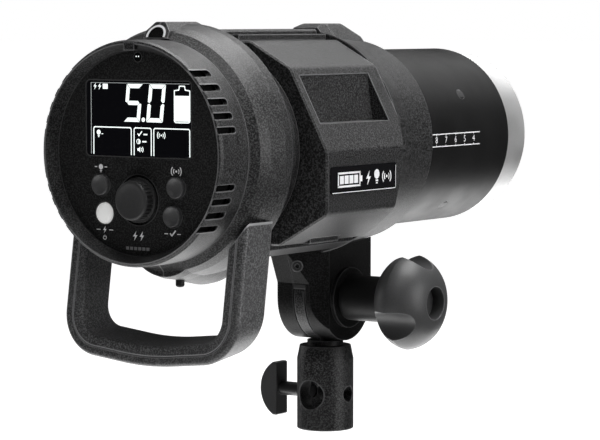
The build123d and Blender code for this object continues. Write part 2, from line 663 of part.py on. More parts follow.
HEX_R = 1.3
with BuildPart() as tube_screws:
    for screw_angle in TUBE_SCREW_ANGLES:
        screw_plane = tube_screw_plane(screw_angle)
        countersunk(screw_plane, 6.0)
        with BuildSketch(screw_plane) as drive:
            RegularPolygon(HEX_R, 6)
        extrude(drive.sketch, amount=-1.2, mode=Mode.SUBTRACT)
save(tube_screws, "tube_screws")

CARRIER_Y = 78.0
with BuildPart() as lamp_carrier:
    disc(0, 0, TUBE_R - TUBE_WALL - 0.1, CARRIER_Y, CARRIER_Y + 3)
    for vent_angle in range(0, 360, 60):
        disc(
            33 * cos(radians(vent_angle)), 33 * sin(radians(vent_angle)), 7,
            CARRIER_Y, CARRIER_Y + 3, Mode.SUBTRACT,
        )
save(lamp_carrier, "lamp_carrier")

LAMP_BASE_Y = CARRIER_Y + 15
FLASH_R, FLASH_TUBE_R = 25.0, 4.0
FLASH_Y = LAMP_BASE_Y + 18

with BuildPart() as lamp_base:
    disc(0, 0, 31, CARRIER_Y + 3, LAMP_BASE_Y)
    disc(0, 0, 26, CARRIER_Y + 3, LAMP_BASE_Y - 3, Mode.SUBTRACT)
save(lamp_base, "lamp_base")

with BuildPart() as modelling_lamp:
    disc(0, 0, 14, LAMP_BASE_Y, LAMP_BASE_Y + 3)
    turn([
        (LAMP_BASE_Y + 3, 0), (LAMP_BASE_Y + 3, 10), (LAMP_BASE_Y + 7, 9), (LAMP_BASE_Y + 10, 6),
        (LAMP_BASE_Y + 11.5, 0),
    ])
save(modelling_lamp, "modelling_lamp")

FLASH_ARC = 300.0
FLASH_ENDS = (90.0, 90.0 - FLASH_ARC)  # where the two legs come up, in degrees

with BuildPart() as flash_tube:
    with BuildSketch(MERIDIAN) as tube_section:
        with Locations((FLASH_Y, FLASH_R)):
            Circle(FLASH_TUBE_R)
    revolve(tube_section.sketch, axis=LIGHT_AXIS, revolution_arc=FLASH_ARC)
    for leg_angle in FLASH_ENDS:
        leg_x, leg_z = FLASH_R * cos(radians(leg_angle)), FLASH_R * sin(radians(leg_angle))
        disc(leg_x, leg_z, FLASH_TUBE_R - 0.5, LAMP_BASE_Y, FLASH_Y)
        with Locations((leg_x, FLASH_Y, AXIS_Z + leg_z)):
            Sphere(FLASH_TUBE_R + 0.2)
save(flash_tube, "flash_tube")

with BuildPart() as reflector_dish:
    turn([
        (LAMP_BASE_Y + 1, 31.2), (LAMP_BASE_Y + 1, 32.4), (120, 41), (129, 43.6),
        (129, 42.4), (120, 39.8), (LAMP_BASE_Y + 2, 31.2),
    ])
save(reflector_dish, "reflector_dish")

with BuildPart() as front_ring:
    turn([
        (TUBE_FRONT_Y - 5, RING_R - 3), (TUBE_FRONT_Y - 5, TUBE_R - TUBE_WALL - 0.1),
        (TUBE_FRONT_Y, TUBE_R - TUBE_WALL - 0.1), (TUBE_FRONT_Y, RING_R), (RING_FRONT_Y - 0.8, RING_R),
        (RING_FRONT_Y, RING_R - 0.8), (RING_FRONT_Y, RING_R - 3),
    ])
save(front_ring, "front_ring")

with BuildPart() as glass_cover:
    disc(0, 0, GLASS_R, RING_FRONT_Y - 7.5, RING_FRONT_Y - 3)
    fillet(glass_cover.faces().sort_by(Axis.Y)[-1].edges(), radius=1.0)
save(glass_cover, "glass_cover")

# ---- Cooling fan in the neck ----

FAN_REAR_Y, FAN_FRONT_Y = -119.0, -104.0
FAN_PIN_R = 2.5
FAN_BLADES = 7

with BuildPart() as fan_frame:
    disc(0, 0, 47.0, FAN_REAR_Y, FAN_FRONT_Y)
    disc(0, 0, 43.5, FAN_REAR_Y, FAN_FRONT_Y, Mode.SUBTRACT)
    disc(0, 0, 14.0, FAN_FRONT_Y - 2, FAN_FRONT_Y)
    for strut_angle in (90, 210, 330):
        with BuildSketch(across(FAN_FRONT_Y)) as strut:
            with Locations(Rotation(0, 0, strut_angle)):
                Rectangle(46, 4, align=(Align.MIN, Align.CENTER))
        extrude(strut.sketch, amount=2)
    disc(0, 0, FAN_PIN_R, FAN_REAR_Y + 2, FAN_FRONT_Y)
save(fan_frame, "fan_frame")

with BuildPart() as fan_rotor:
    disc(0, 0, 15.0, FAN_REAR_Y + 1, FAN_FRONT_Y - 2.5)
    for blade in range(FAN_BLADES):
        with BuildSketch(across(FAN_FRONT_Y - 3)) as blade_section:
            with Locations(Rotation(0, 0, 360 / FAN_BLADES * blade)):
                with Locations((27, 0)):
                    Rectangle(28, 2)
        extrude(blade_section.sketch, amount=10)
    disc(0, 0, FAN_PIN_R + RUNNING_FIT, FAN_REAR_Y + 1, FAN_FRONT_Y - 2.5, Mode.SUBTRACT)
save(fan_rotor, "fan_rotor")

# ---- Tilt bracket under the block, in two halves that clasp the stand adapter's disc ----

BRACKET_SIDE = [
    (-33, BELLY_Z), (-31, -61), (-24, -77.5), (-24, TILT_Z - AXIS_Z), (24, TILT_Z - AXIS_Z),
    (24, BELLY_Z + 4), (BLOCK_FRONT_Y, BELLY_Z + 4), (BLOCK_FRONT_Y, BELLY_Z),
]
BRACKET_HALVES = {
    "bracket_left": (CHEEK_LEFT_X, SLOT_LEFT_X),
    "bracket_right": (SLOT_LEFT_X + PARTING, CHEEK_RIGHT_X),
}
BRACKET_SCREW = Plane(origin=(0.4, -28.0, AXIS_Z - 67.5), x_dir=(0, 0, 1), z_dir=(0.6, -0.8, 0))


def bracket_bevel():
    """Cut the right half's rear corner back, square to its screw."""
    with BuildSketch(Plane.XY) as corner:
        with BuildLine():
            Polyline(
                (SLOT_LEFT_X, -32), (CHEEK_RIGHT_X, -17.4), (40, -17), (40, -60), (SLOT_LEFT_X, -60),
                close=True,
            )
        make_face()
    extrude(corner.sketch, amount=AXIS_Z, mode=Mode.SUBTRACT)


for half_name, (left, right) in BRACKET_HALVES.items():
    with BuildPart() as bracket_half:
        extrude(outline(side_plane(right), BRACKET_SIDE), amount=left - right)
        pin(0, TILT_Z, DISC_R, left, right)
        turn([
            (BLOCK_FRONT_Y, 0), (BLOCK_FRONT_Y, BELL_REAR_R + 0.1), (-14, 59.3), (-4, 58), (10, 56.9),
            (BELL_FRONT_Y + 1, BELL_FRONT_R), (BELL_FRONT_Y + 1, 0),
        ], mode=Mode.SUBTRACT)
        pin(0, TILT_Z, DISC_R + 0.6, SLOT_LEFT_X, SLOT_RIGHT_X, Mode.SUBTRACT)
        if half_name == "bracket_right":
            with BuildSketch(side_plane(SLOT_RIGHT_X, TILT_Z)) as slot_mouth:
                Rectangle(2 * DISC_R + 4, 40, align=(Align.CENTER, Align.MAX))
                with Locations((DISC_R + 2, 0)):
                    Rectangle(10, TONGUE_W + 3)
            extrude(slot_mouth.sketch, amount=SLOT_LEFT_X - SLOT_RIGHT_X, mode=Mode.SUBTRACT)
            bracket_bevel()
            countersunk(BRACKET_SCREW, 6.0, grow=0.05, mode=Mode.SUBTRACT)
        pin(0, TILT_Z, BOLT_R, left, right, Mode.SUBTRACT)
        pin(0, TILT_Z, 9.0, CHEEK_LEFT_X, CHEEK_LEFT_X + 5, Mode.SUBTRACT)
    save(bracket_half, half_name)

with BuildPart() as bracket_screw:
    countersunk(BRACKET_SCREW, 5.5)
    with BuildSketch(BRACKET_SCREW) as bracket_drive:
        RegularPolygon(HEX_R, 6)
    extrude(bracket_drive.sketch, amount=-1.2, mode=Mode.SUBTRACT)
save(bracket_screw, "bracket_screw")

with BuildPart() as friction_washers:
    for washer_left in (SLOT_LEFT_X, SLOT_RIGHT_X - FRICTION_T):
        pin(0, TILT_Z, DISC_R - 1, washer_left, washer_left + FRICTION_T)
    pin(0, TILT_Z, BOLT_R, SLOT_LEFT_X, SLOT_RIGHT_X, Mode.SUBTRACT)
save(friction_washers, "friction_washers")

with BuildPart() as tilt_bolt:
    pin(0, TILT_Z, 8.9, CHEEK_LEFT_X + 0.5, CHEEK_LEFT_X + 5)
    pin(0, TILT_Z, BOLT_R, CHEEK_LEFT_X + 5, KNOB_FRONT_X - 12)
    with BuildSketch(side_plane(CHEEK_LEFT_X + 0.5, TILT_Z)) as bolt_drive:
        RegularPolygon(4, 6)
    extrude(bolt_drive.sketch, amount=3, mode=Mode.SUBTRACT)
save(tilt_bolt, "tilt_bolt")

BOSS_T = 2.5
with BuildPart() as thrust_washer:
    pin(0, TILT_Z, 16.7, CHEEK_RIGHT_X, CHEEK_RIGHT_X + BOSS_T)
    pin(0, TILT_Z, BOLT_R, CHEEK_RIGHT_X, CHEEK_RIGHT_X + BOSS_T, Mode.SUBTRACT)
save(thrust_washer, "thrust_washer")

# Tilt knob: hub, mushroom grip with three finger scallops, and a cap in its end
SCALLOP_R = 9.0
SCALLOP_ANGLES = (89, 209, 329)
DIMPLE_R, DIMPLE_DEPTH = 8.9, 7.0
HUB_NECK_R = 9.0
HUB_END_X = KNOB_FRONT_X - 9.5

with BuildPart() as knob_hub:
    pin(0, TILT_Z, STEM_R, CHEEK_RIGHT_X + BOSS_T + 0.3, KNOB_REAR_X)
    pin(0, TILT_Z, HUB_NECK_R, KNOB_REAR_X, HUB_END_X)
    pin(0, TILT_Z, BOLT_R + RUNNING_FIT, 0, KNOB_FRONT_X, Mode.SUBTRACT)
save(knob_hub, "knob_hub")

KNOB_MERIDIAN = Plane(origin=(0, 0, TILT_Z), x_dir=(1, 0, 0), z_dir=(0, -1, 0))

with BuildPart() as tilt_knob:
    with BuildSketch(KNOB_MERIDIAN) as knob_section:
        with BuildLine():
            Line((KNOB_REAR_X, 0), (KNOB_REAR_X, STEM_R + 0.5))
            ThreePointArc(
                (KNOB_REAR_X, STEM_R + 0.5), (KNOB_REAR_X + 6, 22.5), (KNOB_REAR_X + 14, KNOB_R)
            )
            ThreePointArc(
                (KNOB_REAR_X + 14, KNOB_R), (KNOB_FRONT_X - 5.5, 20.5), (KNOB_FRONT_X, DIMPLE_R + 0.8)
            )
            Line((KNOB_FRONT_X, DIMPLE_R + 0.8), (KNOB_FRONT_X, 0))
            Line((KNOB_FRONT_X, 0), (KNOB_REAR_X, 0))
        make_face()
    revolve(knob_section.sketch, axis=TILT_AXIS)
    for scallop_angle in SCALLOP_ANGLES:
        with BuildSketch(side_plane(KNOB_REAR_X - 1, TILT_Z)) as scallop:
            with Locations(Rotation(0, 0, scallop_angle)):
                with Locations((KNOB_R + 0.6, 0)):
                    Circle(SCALLOP_R)
        extrude(scallop.sketch, amount=KNOB_FRONT_X - KNOB_REAR_X, mode=Mode.SUBTRACT)
    pin(0, TILT_Z, DIMPLE_R, KNOB_FRONT_X - DIMPLE_DEPTH, KNOB_FRONT_X, Mode.SUBTRACT)
    pin(0, TILT_Z, HUB_NECK_R, KNOB_REAR_X, KNOB_FRONT_X, Mode.SUBTRACT)
save(tilt_knob, "tilt_knob")

with BuildPart() as knob_cap:
    pin(0, TILT_Z, DIMPLE_R - 0.1, HUB_END_X, HUB_END_X + 2.2)
save(knob_cap, "knob_cap")

# ---- Stand adapter: receiver with a vertical and a cross socket, and a clamp screw ----

NECK_TOP = TILT_Z - DISC_R - 0.4
TONGUE_LEFT_X = SLOT_LEFT_X + FRICTION_T + RUNNING_FIT
TONGUE_RIGHT_X = SLOT_RIGHT_X - FRICTION_T - RUNNING_FIT

with BuildPart() as receiver:
    with BuildSketch(Plane.XZ) as receiver_section:
        with BuildLine():
            Polyline(
                (0, 0), (RECEIVER_R - 0.5, 0), (RECEIVER_R, 0.5), (RECEIVER_R, RECEIVER_TOP - 7.5),
                (RECEIVER_R - 1.5, RECEIVER_TOP), (10, RECEIVER_TOP), (10, NECK_TOP), (0, NECK_TOP),
                close=True,
            )
        make_face()
    revolve(receiver_section.sketch, axis=Axis.Z)
    pin(0, TILT_Z, DISC_R, TONGUE_LEFT_X, TONGUE_RIGHT_X)
    with BuildSketch(Plane.XY.offset(RECEIVER_TOP)) as tongue_web:
        with Locations(((TONGUE_LEFT_X + TONGUE_RIGHT_X) / 2, 0)):
            Rectangle(TONGUE_RIGHT_X - TONGUE_LEFT_X, TONGUE_W)
    extrude(tongue_web.sketch, amount=12)
    pin(0, TILT_Z, BOLT_R + RUNNING_FIT, -20, 20, Mode.SUBTRACT)
    with BuildSketch(Plane.XY) as socket:
        Circle(SOCKET_R)
    extrude(socket.sketch, amount=SOCKET_DEPTH, mode=Mode.SUBTRACT)
    with BuildSketch(across(20, CROSS_Z)) as cross_socket:
        Circle(SOCKET_R)
    extrude(cross_socket.sketch, amount=40, mode=Mode.SUBTRACT)
    pin(0, CROSS_Z, TOOL_HOLE_R, 0, 20, Mode.SUBTRACT)
    pin(0, SCREW_Z, SCREW_R + RUNNING_FIT, -20, 0, Mode.SUBTRACT)
save(receiver, "receiver")

WING_X, WING_REACH, WING_H, WING_W = -29.3, 11.5, 30.0, 11.0

with BuildPart() as clamp_screw:
    pin(0, SCREW_Z, SCREW_R, WING_X - 6, -SOCKET_R - 0.3)
    chamfer(clamp_screw.edges().filter_by(GeomType.CIRCLE).sort_by(Axis.X)[-1], length=0.8)
save(clamp_screw, "clamp_screw")

with BuildPart() as clamp_wing:
    with BuildSketch(across(WING_W / 2, SCREW_Z)) as wing:
        with BuildLine():
            Line((WING_X, -WING_H / 2), (WING_X, WING_H / 2))
            Line((WING_X, WING_H / 2), (WING_X - 3, WING_H / 2))
            ThreePointArc((WING_X - 3, WING_H / 2), (WING_X - WING_REACH, 0), (WING_X - 3, -WING_H / 2))
            Line((WING_X - 3, -WING_H / 2), (WING_X, -WING_H / 2))
        make_face()
    extrude(wing.sketch, amount=WING_W)
    fillet(clamp_wing.edges(), radius=1.0)
    pin(0, SCREW_Z, SCREW_R, WING_X - 6, WING_X + 2, Mode.SUBTRACT)
save(clamp_wing, "clamp_wing")
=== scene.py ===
from math import cos, pi, radians, sin

import bmesh
import bpy
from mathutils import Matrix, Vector


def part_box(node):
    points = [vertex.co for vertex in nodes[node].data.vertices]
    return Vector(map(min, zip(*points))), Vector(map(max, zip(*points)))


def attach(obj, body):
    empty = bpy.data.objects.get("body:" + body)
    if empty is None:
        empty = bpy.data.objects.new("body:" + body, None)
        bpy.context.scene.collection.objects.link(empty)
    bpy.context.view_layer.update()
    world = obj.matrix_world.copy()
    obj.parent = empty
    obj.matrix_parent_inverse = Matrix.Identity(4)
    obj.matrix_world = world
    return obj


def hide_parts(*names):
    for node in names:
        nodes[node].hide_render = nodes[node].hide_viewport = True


# A monolight strobe on its stand adapter, in metres, in the CAD part's own frame:
# +Z up, the light shines along +Y, the control panel faces -Y, the battery is on +X.

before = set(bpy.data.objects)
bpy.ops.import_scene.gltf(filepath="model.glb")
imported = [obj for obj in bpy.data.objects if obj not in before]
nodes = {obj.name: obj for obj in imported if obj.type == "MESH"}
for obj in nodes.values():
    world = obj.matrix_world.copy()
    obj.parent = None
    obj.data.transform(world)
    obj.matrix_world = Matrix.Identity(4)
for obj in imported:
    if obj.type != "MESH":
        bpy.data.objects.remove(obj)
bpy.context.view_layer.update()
MM = 0.001


def middle(node):
    """The middle of a CAD node's box."""
    low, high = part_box(node)
    return (low + high) / 2


AXIS_Z = middle("front_tube").z  # height of the light axis
PANEL_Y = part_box("control_panel")[0].y  # the panel's outer face
SCREEN_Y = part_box("display_window")[0].y  # the screen window's outer face
TUBE_R = 50.0 * MM  # the light shapers' mount

# ---------------------------------------------------------------- stage, lights, camera

FLOOR_Z = -0.14  # low enough for the head to swing right down
FLOOR_RADIUS = 40
STUDIO_FILL = 0.02  # how much light the white surroundings add to the object
SOFTBOXES = (  # name, place, width, height, brightness
    ("overhead", (0.15, 0.25, 1.35), 1.5, 1.0, 8.0),
    ("key", (0.40, -0.95, 1.25), 0.9, 0.7, 2.2),
    ("right", (1.5, 0.1, 0.35), 0.9, 0.9, 4.9),
    ("front_top", (0.15, 1.5, 1.1), 1.2, 0.8, 0.8),
    ("under", (-0.35, 0.35, -0.9), 2.5, 1.8, 3.2),
    ("under_rear", (0.0, -1.0, -0.8), 1.2, 0.8, 2.4),
    ("left", (-1.5, -0.2, 0.4), 0.8, 0.9, 1.0),
)
CAMERA_AZIMUTH, CAMERA_ELEVATION = 34.71, 4.35  # degrees, from -Y towards +X, and up
CAMERA_PLACE = (0.8257, -1.2167, 0.2279)
LENS, SENSOR_WIDTH = 159.5, 36.0  # millimetres


def make_floor():
    """A pale floor that glows like a light table, and lets the lamps below it through."""
    mesh = bpy.data.meshes.new("floor")
    ring = [
        (FLOOR_RADIUS * cos(radians(a)), FLOOR_RADIUS * sin(radians(a)), FLOOR_Z)
        for a in range(0, 360, 10)
    ]
    mesh.from_pydata(ring, [], [range(len(ring))])
    floor = bpy.data.objects.new("floor", mesh)
    bpy.context.scene.collection.objects.link(floor)
    pale = bpy.data.materials.new("floor_pale")
    pale.use_nodes = True
    shader = pale.node_tree.nodes["Principled BSDF"]
    shader.inputs["Base Color"].default_value = (0.3, 0.3, 0.3, 1)
    shader.inputs["Roughness"].default_value = 0.9
    shader.inputs["Emission Color"].default_value = (1, 1, 1, 1)
    shader.inputs["Emission Strength"].default_value = 1.0
    mesh.materials.append(pale)
    floor.visible_shadow = floor.visible_diffuse = floor.visible_glossy = False


def make_world():
    """A white studio behind the object, which itself adds only a little light to it."""
    world = bpy.data.worlds.new("studio")
    bpy.context.scene.world = world
    world.use_nodes = True
    tree = world.node_tree
    background = tree.nodes["Background"]
    ray = tree.nodes.new("ShaderNodeLightPath")
    tone = tree.nodes.new("ShaderNodeMapRange")
    tone.inputs["To Min"].default_value = STUDIO_FILL
    tone.inputs["To Max"].default_value = 1.0
    tree.links.new(ray.outputs["Is Camera Ray"], tone.inputs["Value"])
    tree.links.new(tone.outputs["Result"], background.inputs["Strength"])
    background.inputs["Color"].default_value = (1, 1, 1, 1)


def softbox(name, place, target, width, height, brightness):
    """A rectangular lamp; its power follows from its size and how bright it looks."""
    data = bpy.data.lights.new(name, "AREA")
    data.shape = "RECTANGLE"
    data.size, data.size_y = width, height
    data.energy = brightness * pi * width * height
    light = bpy.data.objects.new(name, data)
    light.location = place
    light.rotation_euler = (Vector(target) - Vector(place)).to_track_quat("-Z", "Y").to_euler()
    bpy.context.scene.collection.objects.link(light)


def make_lights():
    for name, place, width, height, brightness in SOFTBOXES:
        softbox(name, place, (0, 0, AXIS_Z), width, height, brightness)


def make_camera():
    azimuth, elevation = radians(CAMERA_AZIMUTH), radians(CAMERA_ELEVATION)
    back = Vector((sin(azimuth) * cos(elevation), -cos(azimuth) * cos(elevation), sin(elevation)))
    data = bpy.data.cameras.new("camera")
    data.lens, data.sensor_width = LENS, SENSOR_WIDTH
    camera = bpy.data.objects.new("camera", data)
    camera.location = CAMERA_PLACE
    camera.rotation_mode = "QUATERNION"
    camera.rotation_quaternion = (-back).to_track_quat("-Z", "Y")
    bpy.context.scene.collection.objects.link(camera)
    bpy.context.scene.camera = camera


make_floor()
make_world()
make_lights()
make_camera()
bpy.context.scene.view_settings.view_transform = "Standard"

# ---------------------------------------------------------------- materials


class Shader:
    """A Principled material with short ways to add texture, colour, bump and painted edge highlights."""

    def __init__(self, name, **settings):
        self.material = bpy.data.materials.new(name)
        self.material.use_nodes = True
        self.tree = self.material.node_tree
        self.main = self.tree.nodes["Principled BSDF"]
        for socket, value in settings.items():
            self.main.inputs[socket.replace("_", " ")].default_value = value
        self.place = self.add("ShaderNodeTexCoord").outputs["Object"]
        self.bump_normal = None

    def add(self, kind, **values):
        node = self.tree.nodes.new(kind)
        for key, value in values.items():
            setattr(node, key, value)
        return node

    def join(self, source, target):
        self.tree.links.new(source, target)

    def noise(self, size, detail=2.0, stretch=None):
        """Noise whose features are about size metres across."""
        node = self.add("ShaderNodeTexNoise")
        node.inputs["Scale"].default_value = 1.0 / size
        node.inputs["Detail"].default_value = detail
        self.join(self.stretched(stretch) if stretch else self.place, node.inputs["Vector"])
        return node.outputs["Fac"]

    def cells(self, size):
        """Rounded cells about size metres across, as on a pebbled moulding."""
        node = self.add("ShaderNodeTexVoronoi", feature="SMOOTH_F1")
        node.inputs["Scale"].default_value = 1.0 / size
        node.inputs["Smoothness"].default_value = 0.6
        self.join(self.place, node.inputs["Vector"])
        return node.outputs["Distance"]

    def stretched(self, factors):
        node = self.add("ShaderNodeMapping")
        node.inputs["Scale"].default_value = factors
        self.join(self.place, node.inputs["Vector"])
        return node.outputs["Vector"]

    def remap(self, value, low, high, new_low=0.0, new_high=1.0):
        node = self.add("ShaderNodeMapRange")
        limits = {"From Min": low, "From Max": high, "To Min": new_low, "To Max": new_high}
        for socket, number in limits.items():
            node.inputs[socket].default_value = number
        self.join(value, node.inputs["Value"])
        return node.outputs["Result"]

    def mix(self, factor, colour_a, colour_b):
        """A colour between two; each is a colour or another node's output."""
        node = self.add("ShaderNodeMix", data_type="RGBA")
        self.join(factor, node.inputs["Factor"])
        for socket, colour in ((node.inputs[6], colour_a), (node.inputs[7], colour_b)):
            if isinstance(colour, (tuple, list)):
                socket.default_value = (*colour[:3], 1)
            else:
                self.join(colour, socket)
        return node.outputs[2]

    def edges(self, reach):
        """1 along outer edges that stick out, 0 on flat or hollow ground: the mask for painted edge
        highlights.
        """
        inside = self.add("ShaderNodeAmbientOcclusion", samples=6, inside=True, only_local=True)
        inside.inputs["Distance"].default_value = reach
        return self.remap(inside.outputs["AO"], 0.9, 0.62)

    def colour(self, source):
        self.join(source, self.main.inputs["Base Color"])

    def roughness(self, source):
        self.join(source, self.main.inputs["Roughness"])

    def bump(self, height, depth):
        node = self.add("ShaderNodeBump")
        node.inputs["Strength"].default_value = 1.0
        node.inputs["Distance"].default_value = depth
        self.join(height, node.inputs["Height"])
        if self.bump_normal:
            self.join(self.bump_normal, node.inputs["Normal"])
        self.bump_normal = node.outputs["Normal"]
        self.join(self.bump_normal, self.main.inputs["Normal"])

    def soften(self, radius):
        """Round the look of sharp edges before any bump is added."""
        node = self.add("ShaderNodeBevel", samples=4)
        node.inputs["Radius"].default_value = radius
        self.bump_normal = node.outputs["Normal"]
        self.join(self.bump_normal, self.main.inputs["Normal"])


def grey(tone):
    return (tone, tone, tone * 1.02)


def moulded(
    name, tone, rough, grain=0.8 * MM, depth=0.1 * MM, edge=0.45 * MM, edge_highlight=9.0, gloss=0.34, grain_glint=0.95,
):
    """Pebble-grained moulded plastic: painted glints on the grain tops over painted shade in its hollows,
    with painted highlights along the outer edges.
    """
    s = Shader(name, Specular_IOR_Level=gloss)
    s.soften(edge)
    fine = s.noise(grain, 3.0)
    cloudy = s.noise(28 * MM, 3.0)
    # Painted glints and shade: the grain's tops are drawn paler and its hollows darker, following the bump,
    # as the grain catches light.
    hollows, tops = grey(tone * (1 - grain_glint)), grey(tone * (1 + 2.5 * grain_glint))
    ground = s.mix(s.remap(fine, 0.44, 0.62), hollows, tops)
    ground = s.mix(s.remap(cloudy, 0.35, 0.65, 0.0, 0.3), ground, grey(tone * 1.25))
    # Painted highlight: outer edges are drawn paler, standing in for light caught by their rounded faces.
    s.colour(s.mix(s.edges(edge * 1.8), ground, grey(tone * edge_highlight)))
    s.roughness(s.remap(fine, 0.3, 0.7, rough - 0.1, rough + 0.12))
    s.bump(fine, depth)
    s.bump(s.cells(grain * 2.2), depth * 0.4)
    return s.material


def painted(name, tone, rough, grain=0.3 * MM, depth=0.012 * MM, edge=0.4 * MM, edge_highlight=3.0, gloss=0.5):
    """Satin paint on metal: a faint orange peel, soft smudges and painted highlights along the outer edges.
    """
    s = Shader(name, Specular_IOR_Level=gloss)
    s.soften(edge)
    fine = s.noise(grain, 2.0)
    smudge = s.noise(22 * MM, 4.0)
    ground = s.mix(s.remap(fine, 0.35, 0.65), grey(tone * 0.88), grey(tone * 1.12))
    # Painted highlight: outer edges are drawn paler, standing in for light caught by their rounded faces.
    s.colour(s.mix(s.edges(edge * 1.6), ground, grey(tone * edge_highlight)))
    s.roughness(s.remap(smudge, 0.3, 0.7, rough - 0.05, rough + 0.07))
    s.bump(fine, depth)
    return s.material


def turned_metal(name, tone, rough, stretch, tint=(1.0, 1.0, 1.0), line=0.12 * MM):
    """Bare metal with fine lathe lines across the stretch direction."""
    s = Shader(name, Metallic=1.0)
    s.soften(0.3 * MM)
    lines = s.noise(line, 2.0, stretch)
    dull = s.noise(16 * MM, 3.0)
    low, high = [c * tone * 0.86 for c in tint], [c * tone * 1.08 for c in tint]
    s.colour(s.mix(s.remap(lines, 0.3, 0.7), low, high))
    s.roughness(s.remap(dull, 0.3, 0.7, rough - 0.06, rough + 0.08))
    s.bump(lines, 0.004 * MM)
    return s.material


def glossy(name, colour, rough=0.08):
    """Polished plastic with faint dust and hairline unevenness."""
    s = Shader(name, Specular_IOR_Level=0.5, Coat_Weight=0.5, Coat_Roughness=0.05)
    dust = s.noise(0.5 * MM, 4.0)
    waves = s.noise(9 * MM, 2.0)
    s.colour(s.mix(s.remap(dust, 0.62, 0.85), colour, [c + 0.03 for c in colour]))
    s.roughness(s.remap(waves, 0.3, 0.7, rough, rough + 0.05))
    s.bump(waves, 0.01 * MM)
    return s.material


def ink(name, tone):
    """Silk-screened ink, very slightly uneven."""
    s = Shader(name)
    coverage = s.noise(0.4 * MM, 3.0)
    s.colour(s.mix(s.remap(coverage, 0.3, 0.75), grey(tone * 0.85), grey(tone)))
    s.roughness(s.remap(coverage, 0.3, 0.7, 0.5, 0.65))
    return s.material


def glowing(name, colour, strength):
    """A lit display segment, its glow a little uneven; the same glow paints the sensor's glints, and partly
    lights the white button.
    """
    s = Shader(name, Roughness=0.4)
    uneven = s.noise(2.5 * MM, 1.0)
    tone = s.mix(s.remap(uneven, 0.3, 0.7), [c * 0.9 for c in colour], colour)
    s.colour(tone)
    s.join(tone, s.main.inputs["Emission Color"])
    s.main.inputs["Emission Strength"].default_value = strength
    return s.material


def rubbery(name, tone):
    s = Shader(name, Specular_IOR_Level=0.35)
    s.soften(0.3 * MM)
    fine = s.noise(0.35 * MM, 3.0)
    s.colour(s.mix(s.remap(fine, 0.3, 0.7), grey(tone * 0.8), grey(tone * 1.2)))
    s.roughness(s.remap(fine, 0.3, 0.7, 0.36, 0.55))
    s.bump(fine, 0.02 * MM)
    return s.material


def frosted(name):
    s = Shader(name, Transmission_Weight=0.55, IOR=1.46)
    frost = s.noise(0.25 * MM, 3.0)
    s.colour(s.mix(s.remap(frost, 0.3, 0.7), (0.80, 0.82, 0.82), (0.92, 0.93, 0.93)))
    s.roughness(s.remap(frost, 0.3, 0.7, 0.38, 0.52))
    s.bump(frost, 0.02 * MM)
    return s.material


# Each is named, then given its tone or colour, and its roughness or the like.
# Each moulded and painted finish below carries painted edge highlights; the moulded ones also carry painted
# glints on their grain.
body = moulded("moulded_body", 0.020, 0.44)
handle_plastic = moulded("handle_plastic", 0.066, 0.42, grain_glint=0.5, edge_highlight=5.0)
panel_plastic = moulded("panel_plastic", 0.010, 0.52, gloss=0.26)
inner = moulded("inner_plastic", 0.010, 0.7, edge_highlight=1.4)
tube_paint = painted("tube_paint", 0.0075, 0.42, gloss=0.24, edge_highlight=5.0)
bracket_paint = moulded("bracket_paint", 0.0045, 0.50, edge_highlight=9.0, gloss=0.16)
receiver_paint = moulded("receiver_paint", 0.018, 0.40, edge_highlight=5.0)
knob_plastic = painted("knob_plastic", 0.050, 0.40, grain=0.5 * MM, depth=0.02 * MM, gloss=0.35)
hub_plastic = painted("hub_plastic", 0.008, 0.45, gloss=0.2)
screw_black = painted("screw_black", 0.02, 0.35, edge_highlight=5.0)
ring_metal = turned_metal("ring_aluminium", 0.68, 0.55, (1.0, 14.0, 1.0))
steel = turned_metal("steel", 0.50, 0.30, (9.0, 1.0, 1.0))
brass = turned_metal("contact_brass", 0.75, 0.28, (1.0, 6.0, 1.0), (1.0, 0.78, 0.42))
reflector = turned_metal("reflector_metal", 0.85, 0.15, (1.0, 9.0, 1.0))
screen_black = glossy("screen_black", (0.004, 0.004, 0.006))
label_black = glossy("label_black", (0.006, 0.006, 0.007), 0.16)
# White print; the same white also paints a highlight along the battery label's lower and front edge.
white_ink_and_highlight = ink("white_ink_and_highlight", 0.95)
grey_ink = ink("grey_ink", 0.22)
# Lit display segments; the same glow also paints the sensor's glints.
lit = glowing("lit_segment_and_glint", (0.93, 1.0, 0.98), 0.9)
lit_dim = glowing("lit_line", (0.60, 0.64, 0.64), 0.35)
button_grey = rubbery("button_grey", 0.075)
# The white button glows: partly its own backlight, partly painted light standing in for the light on it.
button_white = glowing("button_white", (0.80, 0.80, 0.79), 0.35)
dial_plastic = rubbery("dial_plastic", 0.045)
rubber = rubbery("rubber", 0.02)
# Near-black, for the sheet of painted shade behind the vents.
vent_shade_black = moulded("vent_shade_black", 0.002, 0.8, edge_highlight=1.5, gloss=0.1)
glass = frosted("frosted_glass")
ceramic = glossy("ceramic", (0.80, 0.78, 0.74), 0.4)
window_dark = moulded("window_dark", 0.003, 0.55, grain=0.4 * MM, depth=0.01 * MM, edge_highlight=2.0, gloss=0.06)
solder_mask = glossy("solder_mask", (0.01, 0.09, 0.03), 0.3)
sleeve_blue = glossy("sleeve_blue", (0.01, 0.012, 0.06), 0.25)
sleeve_green = glossy("sleeve_green", (0.03, 0.16, 0.07), 0.25)

